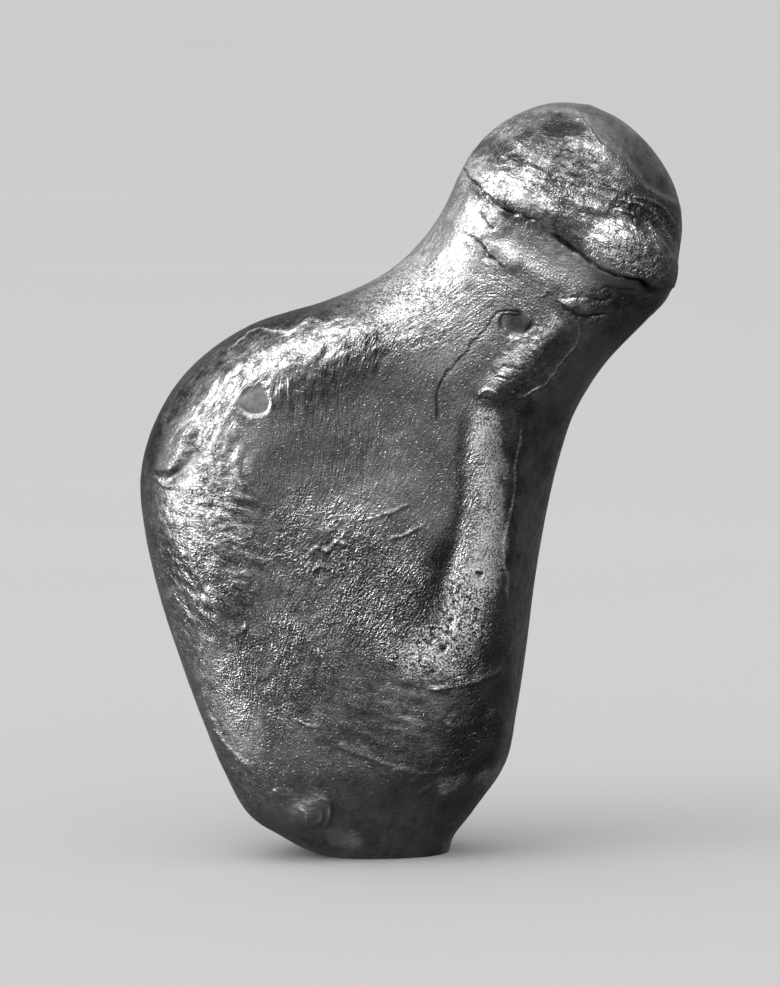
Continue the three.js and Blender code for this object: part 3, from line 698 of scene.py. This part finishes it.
def out_of_pit(places, pit):
    """The distance from a pit's middle, which is 1 on its edge."""
    down = np.arctan2(places[:, 0] - pit["at"][0], pit["at"][1] - places[:, 1])
    drawn = 1 + pit["point"] * np.cos(3 * down)
    return elliptic(places, pit["at"], pit["radii"], pit["turn"]) / drawn


def pit_rims(places):
    """The relief of the thin raised rims round the pits."""
    total = np.zeros(len(places))
    for pit in PITS:
        out = out_of_pit(places, pit)
        total += pit["rim"] * np.exp(-(((out - PIT_RIM) / PIT_RIM_WIDTH) ** 2))
    return total


def in_pores(places):
    """How fully each place lies in one of the deep, narrow pits."""
    most = np.zeros(len(places))
    for pit in PITS:
        if pit["depth"] > PORE_DEPTH:
            most = np.maximum(most, 1 - smooth(*PORE_SHADE, out_of_pit(places, pit)))
    return most


def sink_pits(points, places):
    """Moves each pit's floor back."""
    for pit in PITS:
        out = out_of_pit(places, pit)
        out[points[:, 1] > 0] = np.inf
        levelling = pit["level"] * (points[out.argmin(), 1] - points[:, 1])
        points[:, 1] += (1 - smooth(*PIT_WALL, out)) * (levelling + pit["depth"])


def swell(points):
    """The gentle unevenness of the whole lump."""
    x, y, z = points.T
    broad = np.sin(0.5 * x + 0.3 * z + 0.8) * np.cos(0.5 * y - 0.25 * z)
    tight = np.sin(0.9 * x - 0.8 * y) * np.cos(0.6 * z + 0.5 * x + 1.9)
    return SWELL_HEIGHT * (broad + 0.4 * tight)


def flow_turns(places):
    """Twice the angle at which the melt's streaks run, as its cosine and sine. Doubled, the two
    ways along a streak are the same."""
    total = np.full((len(places), 2), 1e-9)
    for x, z, angle in FLOW:
        weight = np.exp(-((places[:, 0] - x) ** 2 + (places[:, 1] - z) ** 2) / FLOW_REACH**2)
        turn = math.radians(2 * angle)
        total += weight[:, None] * (math.cos(turn), math.sin(turn))
    return total / np.linalg.norm(total, axis=1)[:, None]


def flow_directions(turns):
    """Unit vectors along the streaks, from the doubled angle."""
    angle = np.arctan2(turns[:, 1], turns[:, 0]) / 2
    return np.stack([np.cos(angle), np.zeros(len(angle)), np.sin(angle)], axis=1)


def polished(places):
    """1 on the smooth side of the edges between torn and smooth melt, and 0 on the other."""
    most = np.zeros(len(places))
    for edge in POLISH_EDGES:
        away, side, _ = nearest(places, flowing(edge))
        most = np.maximum(most, smooth(*POLISH_FADE, away * np.sign(side)))
    return most


def finish_masks(stained, strayed, on_front):
    """How much of each finish there is, from 0 to 1."""
    masks = {}
    for name, patches in FINISHES.items():
        mask = domes(stained, patches)
        for lines, places in ((FINISH_LINES, stained), (CREST_FINISHES, strayed)):
            mask = np.clip(mask, 0, 1)
            for row, near, fade, share in traced(places, lines.get(name, [])):
                mask[near] += row["height"] * fade * share
        masks[name] = np.clip(mask, 0, 1)
    smoothness = polished(stained)
    masks["polish"] = np.maximum(masks["polish"], FLANK_POLISH * smoothness)
    # The smooth side gets painted shade as it turns from the light.
    masks["dark"] = np.maximum(masks["dark"], FLANK_PAINTED_SHADE * smoothness)
    for name, mask in masks.items():
        masks[name] = mask * on_front + BACK_FINISH.get(name, 0) * (1 - on_front)
    return masks


def fine_relief(points, flow, masks):
    """The melt's wrinkles, streaks and lumps that are large enough to be modelled, with their
    heights in millimetres."""
    wrinkles = streaked(points, flow, size=0.36, length=0.7, seed=3)
    ridged = 1 - np.minimum(1, 2 * np.abs(wrinkles))
    lumps = noise(points, size=0.55, seed=4) + 0.5 * noise(points, size=0.3, seed=5)
    runs = streaked(points, flow, size=0.34, length=1.6, seed=6)
    scales = 1.4 * streaked(points, flow, size=0.6, length=0.9, seed=10) % 1
    calm = 1 - CALM * masks["polish"]
    return calm * (
        0.05 * masks["worm"] * ridged
        + 0.06 * masks["flakes"] * scales
        + 0.028 * (0.3 + masks["grain"]) * lumps
        + (0.005 + 0.012 * masks["grain"] + 0.04 * masks["drips"]) * runs
    )


def melt_relief(points, places, strayed, to_front, flow, masks):
    """How high the relief stands at each point, and how fully each lies in a crevice, groove or pore,
    which is painted dark as soot and shade.
    """
    facing_front = smooth(*FRONT_FACING, to_front)
    strength = 1 + UNEVEN * noise(points, UNEVEN_SIZE, seed=13)
    thin, crevice = line_relief(strayed, FINE_LINES)
    broad, trough = line_relief(places, LINES)
    front = domes(places, MOUNDS) + broad + thin * strength
    front += ledge_relief(strayed) + pit_rims(strayed) * strength
    back = domes(points[:, [0, 2]], THUMBPRINTS)
    height = front * facing_front + back * smooth(*BACK_FACING, -to_front)
    height += swell(points) * smooth(*SWELL_FACING, np.abs(to_front))
    height += fine_relief(points, flow, masks)
    soot_and_shade = np.maximum(crevice, TROUGH_PAINTED_SHADE * trough)
    soot_and_shade = np.maximum(soot_and_shade, in_pores((places + strayed) / 2)) * facing_front
    return height, soot_and_shade


# ---- The mesh ---------------------------------------------------------------
REFINED_WIDTHS = 1.8  # the mesh is finer within this many widths of a fine line
REFINED_PIT = (0.6, 1.35)  # and round a pit's edge, between these shares of its radius
REFINING_CUTS = 2
CAVITY_ROUNDS = 14  # rounds of averaging, each over a vertex's neighbours


def read(mesh, name, layer="vertices"):
    """A vector of each of the mesh's vertices, or of its polygons."""
    layer = getattr(mesh, layer)
    values = np.empty(len(layer) * 3, np.float32)
    layer.foreach_get(name, values)
    return values.reshape(-1, 3).astype(float)


def shape(mesh, points):
    """Moves the mesh's vertices to points."""
    mesh.vertices.foreach_set("co", points.astype(np.float32).ravel())
    mesh.update()


def paint(mesh, name, values):
    """Keeps a value, or a vector, at each vertex for the material to read."""
    kind, field = ("FLOAT_VECTOR", "vector") if values.ndim == 2 else ("FLOAT", "value")
    attribute = mesh.attributes.new(name, kind, "POINT")
    attribute.data.foreach_set(field, values.astype(np.float32).ravel())


def beside_fine_relief(places):
    """Which places lie beside a fine line or a small pit."""
    beside = np.zeros(len(places), bool)
    for row in FINE_LINES:
        path = flowing(row["path"])
        reach = REFINED_WIDTHS * row["width"] + WOBBLE
        near = near_line(places, path, reach)
        away, _, _ = nearest(places[near], path)
        beside[near] |= away < reach
    inner, outer = REFINED_PIT
    for pit in PITS:
        out = out_of_pit(places, pit)
        beside |= (out > inner) & (out < outer)
    return beside


def refine(lump):
    """Subdivides the front's faces that carry fine lines."""
    mesh = lump.data
    centres, normals = read(mesh, "center", "polygons"), read(mesh, "normal", "polygons")
    chosen = beside_fine_relief(seen(centres)) & (-normals[:, 1] > FRONT_FACING[0])
    bpy.context.tool_settings.mesh_select_mode = (False, False, True)
    bpy.ops.object.mode_set(mode="EDIT")
    bpy.ops.mesh.select_all(action="DESELECT")
    bpy.ops.object.mode_set(mode="OBJECT")
    mesh.polygons.foreach_set("select", chosen)
    bpy.ops.object.mode_set(mode="EDIT")
    bpy.ops.mesh.subdivide(number_cuts=REFINING_CUTS)
    bpy.ops.object.mode_set(mode="OBJECT")


def depths_below(mesh, heights):
    """How far each vertex lies below the mean of the heights round it."""
    joined = np.empty(len(mesh.edges) * 2, np.int32)
    mesh.edges.foreach_get("vertices", joined)
    a, b = joined.reshape(-1, 2).T
    count = np.bincount(joined, minlength=len(heights))
    mean = heights
    for _ in range(CAVITY_ROUNDS):
        sums = np.bincount(a, mean[b], len(heights)) + np.bincount(b, mean[a], len(heights))
        mean = (mean + sums / count) / 2
    return mean - heights


def model_lump():
    """The lump's mesh, with its finishes and its flow kept at the vertices."""
    bpy.ops.object.select_all(action="DESELECT")
    bpy.ops.mesh.primitive_uv_sphere_add(segments=SEGMENTS, ring_count=RINGS, radius=1)
    lump = bpy.context.object
    lump.name = "melted_lump"
    mesh = lump.data
    shape(mesh, formed(read(mesh, "co")))
    refine(lump)
    points, normals = read(mesh, "co"), read(mesh, "vector", "vertex_normals")
    places = seen(points)
    stained = places
    for reach, size in STAIN_WOBBLES:
        stained = wobbled(points, stained, reach, size)
    strayed = wobbled(points, places, WOBBLE, WOBBLE_SIZE)
    masks = finish_masks(stained, strayed, 1 - smooth(*BACK_FINISH_FACING, normals[:, 1]))
    turns = flow_turns(places)
    flow = flow_directions(turns)
    height, soot_and_shade = melt_relief(points, places, strayed, -normals[:, 1], flow, masks)
    # Hollows and crevices are painted darker, partly as soot and partly as painted shade.
    hollow = smooth(*CAVITY_DEPTHS, depths_below(mesh, height))
    masks["cavity"] = np.maximum(hollow, soot_and_shade)
    points += normals * (height * smooth(*FOOT_HEIGHTS, points[:, 2]))[:, None]
    sink_pits(points, (places + strayed) / 2)
    middle = (points.min(axis=0) + points.max(axis=0)) / 2
    points -= (middle[0], middle[1], 0)
    shape(mesh, points * MM)
    for name, values in masks.items():
        paint(mesh, name, values)
    paint(mesh, "flow", np.hstack([turns, np.zeros((len(turns), 1))]))
    bpy.ops.object.shade_smooth()
    return lump


# ---- Shader maths -----------------------------------------------------------
class Wire:
    """What a shader socket carries, which sums and products can be made of."""

    def __init__(self, shader, socket):
        self.shader = shader
        self.socket = socket

    def __add__(self, other):
        return self.shader.maths("ADD", self, other)

    __radd__ = __add__

    def __sub__(self, other):
        return self.shader.maths("SUBTRACT", self, other)

    def __rsub__(self, other):
        return self.shader.maths("SUBTRACT", other, self)

    def __mul__(self, other):
        return self.shader.maths("MULTIPLY", self, other)

    __rmul__ = __mul__

    def __abs__(self):
        return self.shader.maths("ABSOLUTE", self)

    def smooth(self, low, high):
        """0 at low, 1 at high and a smooth step between, whichever of them is the higher."""
        settings = {"interpolation_type": "SMOOTHSTEP"}
        inputs = {"Value": self, "From Min": low, "From Max": high}
        return self.shader.node("MapRange", settings, inputs)


class Shader:
    """The nodes of a material or a world, each added by its type, its settings and its inputs."""

    def __init__(self, owner):
        owner.use_nodes = True
        self.tree = owner.node_tree

    def node(self, kind, settings=(), inputs=(), output=0):
        """Adds a node, and gives what one of its outputs carries."""
        node = self.tree.nodes.new("ShaderNode" + kind)
        for name, value in dict(settings).items():
            setattr(node, name, value)
        self.fill(node, inputs)
        return Wire(self, node.outputs[output])

    def fill(self, node, inputs):
        """Gives a node's sockets their values, by name or in their order."""
        pairs = inputs.items() if isinstance(inputs, dict) else enumerate(inputs)
        for name, value in pairs:
            if isinstance(value, Wire):
                self.tree.links.new(value.socket, node.inputs[name])
            else:
                node.inputs[name].default_value = value

    def maths(self, operation, *values):
        return self.node("Math", {"operation": operation}, values)

    def vector_maths(self, operation, *values):
        return self.node("VectorMath", {"operation": operation}, values)

    def scaled(self, vector, factor):
        return self.node("VectorMath", {"operation": "SCALE"}, {"Vector": vector, "Scale": factor})

    def attribute(self, name, output="Fac"):
        return self.node("Attribute", {"attribute_name": name}, output=output)

    def mixed(self, share, first, second):
        """A colour between two colours."""
        return self.node("Mix", {"data_type": "RGBA"}, {0: share, 6: first, 7: second}, 2)

    def noise(self, place, size, detail=0, rise=None, stretch=None, **inputs):
        """Noise of 0 to 1, or one that goes from 0 to 1 between the two values of rise. A
        stretch below 1 draws it out along that axis."""
        if stretch:
            place = self.vector_maths("MULTIPLY", place, stretch)
        values = {"Vector": place, "Scale": 1 / size, "Detail": detail, "Roughness": 0.6}
        tone = self.node("TexNoise", {}, {**values, **inputs})
        return tone.smooth(*rise) if rise else tone


def grey(value):
    return (value, value, value, 1)


# ---- The metal --------------------------------------------------------------
BUMP_HEIGHT = 0.05  # in millimetres, and so are the sizes
DARKEST = 0.15  # tones of the clean metal
BRIGHTEST = 0.9
# Noise drawn out along the flow: the mean of noise at so many taps, a step apart.
STREAKS = dict(
    fine=dict(size=0.1, taps=7, step=0.055, contrast=2.4),
    broad=dict(size=0.42, taps=5, step=0.15, contrast=2.2),
)
# The other patterns, each by the size of its lumps. The finer ones come first.
NOISES = dict(
    dust=dict(size=0.09, detail=2, rise=(0.36, 0.64)),
    grit=dict(size=0.1, detail=1),
    # Specks are raised in the bump and painted lighter as glints.
    specks_and_glints=dict(size=0.13, rise=(0.7, 0.78)),
    hair=dict(size=0.16, detail=2, stretch=(0.25, 1, 1.4)),
    pitting=dict(size=0.28, detail=2, rise=(0.46, 0.39)),
    runs=dict(size=0.3, detail=1, rise=(0.45, 0.65), stretch=(1, 1, 0.2), Distortion=0.6),
    speckle=dict(size=0.35, detail=5, rise=(0.35, 0.65), Roughness=0.8),
    squiggle=dict(size=0.36, detail=1, Distortion=0.8),
    lumps=dict(size=0.45, detail=1),
    stain=dict(size=0.5, detail=3, rise=(0.3, 0.6)),
    patches=dict(size=1.1, detail=1, rise=(0.4, 0.6)),
    cloud=dict(size=1.3, detail=4, rise=(0.3, 0.7)),
    mottle=dict(size=1.8, detail=3),
)
WORM_SHARPNESS = 9  # a worm-like ridge is the narrower the higher this is


def flow_direction(shader):
    """The way the melt's streaks run, from the doubled angle that is kept at the vertices."""
    turn = shader.attribute("flow", "Vector")
    cosine, sine = (shader.node("SeparateXYZ", {}, [turn], axis) for axis in ("X", "Y"))
    angle = shader.maths("ARCTAN2", sine, cosine) * 0.5
    parts = {"X": shader.maths("COSINE", angle), "Z": shader.maths("SINE", angle)}
    return shader.node("CombineXYZ", {}, parts)


def streaks(shader, place, flow, size, taps, step, contrast):
    """Noise drawn out along the flow, of about -1 to 1."""
    tones = []
    for tap in range(taps):
        move = (tap - (taps - 1) / 2) * step
        moved = shader.vector_maths("ADD", place, shader.scaled(flow, move))
        tones.append(shader.noise(moved, size))
    return (sum(tones) * (1 / taps) - 0.5) * (2 * contrast)


def melt_patterns(shader):
    """The finishes that the vertices keep, and the patterns that the metal has in them."""
    place = shader.scaled(shader.node("TexCoord", output="Object"), 1 / MM)
    flow = flow_direction(shader)
    melt = SimpleNamespace(
        **{name: shader.attribute(name) for name in (*FINISHES, "cavity")},
        **{name: shader.noise(place, **row) for name, row in NOISES.items()},
        **{name: streaks(shader, place, flow, **row) for name, row in STREAKS.items()},
    )
    melt.torn = 1 - CALM * melt.polish
    melt.scales = shader.maths("FRACT", melt.broad * 1.3 + 0.5)
    ridge = shader.maths("MAXIMUM", 1 - abs(melt.squiggle - 0.5) * WORM_SHARPNESS, 0)
    melt.worms = ridge * melt.worm * (0.4 + 0.8 * melt.patches)
    melt.holes = melt.pitting * melt.pores
    melt.runs *= melt.drips
    melt.specks_and_glints *= (1 - melt.polish) * 0.45
    melt.frost = (melt.frost * (1 + (melt.hair - 0.5) * 2.6)).smooth(0.2, 0.75)
    return melt


def melt_height(melt):
    """The metal's fine relief, as shares of BUMP_HEIGHT."""
    grain, flakes, patches = melt.grain, melt.flakes, melt.patches
    relief = (
        melt.fine * (0.05 + 0.12 * grain + 0.3 * melt.drips) * (0.5 + patches)
        + melt.broad * (0.06 + 0.3 * flakes)
        + melt.scales * flakes * 0.45
        + melt.grit * (0.4 + 0.5 * grain + 0.5 * grain * patches) * (1 - 0.35 * flakes)
        + melt.specks_and_glints * 0.35
        + melt.worms * 0.5
        - melt.runs * 0.35
        - melt.holes * 0.8
    )
    return relief * melt.torn * (1 - 0.45 * melt.frost) + melt.lumps * 0.3


def melt_tone(melt):
    """Where the clean metal lies between DARKEST, at 0, and BRIGHTEST, at 1."""
    torn, frost, polish = melt.torn, melt.frost, melt.polish
    # Pale adds painted light and dark adds painted shade, besides the metal's own tone, and the
    # specks are painted lighter as glints.
    finishes = 0.42 * melt.pale - 0.35 * melt.dark + 0.15 * frost + 0.2 * melt.specks_and_glints
    clouds = (melt.cloud - 0.5) * (0.25 + 0.1 * polish + 0.25 * frost + 0.2 * melt.flakes)
    blotches = (melt.stain - 0.5) * polish * 0.2
    hairs = (melt.hair - 0.5) * frost * 0.8
    speckle = (melt.speckle - 0.5) * (0.16 + (0.16 + 0.2 * melt.patches) * torn)
    dust = (melt.dust - 0.5) * (0.32 + 0.3 * melt.grain + 0.9 * frost) * torn
    return 0.45 + finishes + clouds + blotches + hairs + speckle + dust


def melt_soot_and_shade(melt):
    """How far the metal is painted dark, partly as soot and tarnish and partly as painted shade in
    hollows, crevices, pits, the slit and along the outer edge: each cause leaves its own share of it
    clean.
    """
    between_scales = (1 - melt.scales.smooth(0, 0.3)) * melt.flakes * melt.torn
    clean = (
        (1 - 0.85 * melt.cavity)
        * (1 - 0.55 * between_scales)
        * (1 - melt.tarnish * (0.66 + 0.22 * melt.stain))
        * (1 - 0.8 * melt.holes)
        * (1 - 0.6 * melt.runs)
    )
    return 1 - clean


def melt_roughness(melt):
    """Rougher where the metal is frosted, and smoother in the pale parts of its speckle."""
    rough = 0.33 + 0.1 * melt.mottle + 0.06 * melt.polish + 0.3 * melt.frost
    return rough - (melt.speckle - 0.5) * 0.25 * melt.torn


def nickel_iron():
    """Bare nickel-iron with a fine melt grain, drawn out along the flow."""
    material = bpy.data.materials.new("nickel_iron")
    shader = Shader(material)
    melt = melt_patterns(shader)
    clean = shader.mixed(melt_tone(melt), grey(DARKEST), grey(BRIGHTEST))
    height = {"Height": melt_height(melt), "Distance": BUMP_HEIGHT * MM, "Strength": 1}
    shader.fill(shader.tree.nodes["Principled BSDF"], {
        "Metallic": 1,
        "Base Color": shader.mixed(melt_soot_and_shade(melt), clean, grey(0)),
        "Roughness": melt_roughness(melt),
        "Normal": shader.node("Bump", {}, height),
    })
    return material


# ---- Studio, in metres ------------------------------------------------------
AIM = Vector((-0.00107, 0, 0.018))
FRAME_HEIGHT = 0.0493  # of the camera's picture, at the lump
SENSOR = 36  # the camera's, in millimetres
NEAREST = 0.01  # that the camera sees
FLOOR_SIZE = 12.0
FLOOR_MOTTLE = 0.12
FLOOR_TONES = (0.72, 0.76)
FLOOR_ROUGHNESS = 0.8
ROOM_TONE = 0.72
# How bright the room is in the metal, and where in it that changes, from -1 on the left or
# below to 1 on the right or above.
MIRRORED_LEFT = 0.31
MIRRORED_RIGHT = 0.05
TO_LEFT = (0.95, 0.1)
BELOW_SHARE = 0.15
TO_ABOVE = (-0.5, 0.35)
SKYLIGHT_POWER = 0.6
SKYLIGHT_ANGLE = math.radians(50)
SKYLIGHT_OFFSET = Vector((-0.6, -0.5, 1.0))


def pale_floor():
    bpy.ops.object.select_all(action="DESELECT")
    bpy.ops.mesh.primitive_plane_add(size=FLOOR_SIZE)
    floor = bpy.context.object
    floor.name = "studio_floor"
    floor.visible_glossy = False
    material = bpy.data.materials.new("pale_floor")
    shader = Shader(material)
    mottle = shader.noise(shader.node("TexCoord", output="Object"), FLOOR_MOTTLE, detail=2)
    colour = shader.mixed(mottle, *(grey(tone) for tone in FLOOR_TONES))
    values = {"Base Color": colour, "Roughness": FLOOR_ROUGHNESS}
    shader.fill(shader.tree.nodes["Principled BSDF"], values)
    floor.data.materials.append(material)


def aim(thing, target):
    """Turns a lamp or camera to look at target."""
    thing.rotation_mode = "QUATERNION"
    thing.rotation_quaternion = (target - thing.location).to_track_quat("-Z", "Y")


def add_lamp(light, location):
    """A lamp that looks at the lump and that the camera doesn't see."""
    lamp = bpy.data.objects.new(light.name, light)
    lamp.location = location
    lamp.visible_camera = False
    aim(lamp, AIM)
    bpy.context.scene.collection.objects.link(lamp)
    return lamp


def softbox(name, offset, size, power):
    """A square light that the metal mirrors and the floor doesn't show."""
    light = bpy.data.lights.new(name, "AREA")
    light.shape = "SQUARE"
    light.size = size
    light.energy = power
    add_lamp(light, AIM + Vector(offset)).visible_diffuse = False


def skylight():
    """The even light on the floor, with a soft shadow."""
    light = bpy.data.lights.new("skylight", "SUN")
    light.energy = SKYLIGHT_POWER
    light.angle = SKYLIGHT_ANGLE
    add_lamp(light, AIM + SKYLIGHT_OFFSET).visible_glossy = False


def surroundings():
    """A pale room, which the metal mirrors dimmed, and darker on the right and below."""
    world = bpy.data.worlds.new("studio")
    bpy.context.scene.world = world
    shader = Shader(world)
    direction = shader.node("TexCoord", output="Generated")
    x, z = (shader.node("SeparateXYZ", {}, [direction], axis) for axis in ("X", "Z"))
    glow = MIRRORED_RIGHT + (MIRRORED_LEFT - MIRRORED_RIGHT) * x.smooth(*TO_LEFT)
    glow *= BELOW_SHARE + (1 - BELOW_SHARE) * z.smooth(*TO_ABOVE)
    room = shader.node("Background", {}, {"Color": grey(ROOM_TONE)})
    dimmed = shader.node("Background", {}, {"Color": grey(1), "Strength": glow})
    mirrored = shader.node("LightPath", output="Is Glossy Ray")
    surface = shader.node("MixShader", {}, [mirrored, room, dimmed])
    shader.fill(shader.tree.nodes["World Output"], {"Surface": surface})


def studio_camera():
    """A camera where the viewer is for whom the relief is laid on."""
    distance = VIEWER_DISTANCE * MM
    data = bpy.data.cameras.new("camera")
    data.sensor_width = SENSOR
    data.lens = SENSOR * distance / FRAME_HEIGHT
    data.clip_start = NEAREST
    camera = bpy.data.objects.new("camera", data)
    back = Vector((0, -math.cos(VIEWER_PITCH), math.sin(VIEWER_PITCH)))
    camera.location = AIM + back * distance
    aim(camera, AIM)
    bpy.context.scene.collection.objects.link(camera)
    bpy.context.scene.camera = camera


lump = model_lump()
lump.data.materials.append(nickel_iron())
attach(lump, "root")
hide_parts("meteorite")
pale_floor()
surroundings()
skylight()
softbox("key_softbox", offset=(-0.24, -0.2, 0.22), size=0.16, power=0.8)
softbox("left_softbox", offset=(-0.4, -0.22, 0.02), size=0.2, power=0.85)
softbox("back_softbox", offset=(-0.3, 0.3, 0.3), size=0.3, power=0.35)
softbox("top_softbox", offset=(0.1, -0.5, 0.6), size=0.5, power=3.2)
studio_camera()
bpy.context.scene.view_settings.view_transform = "Standard"
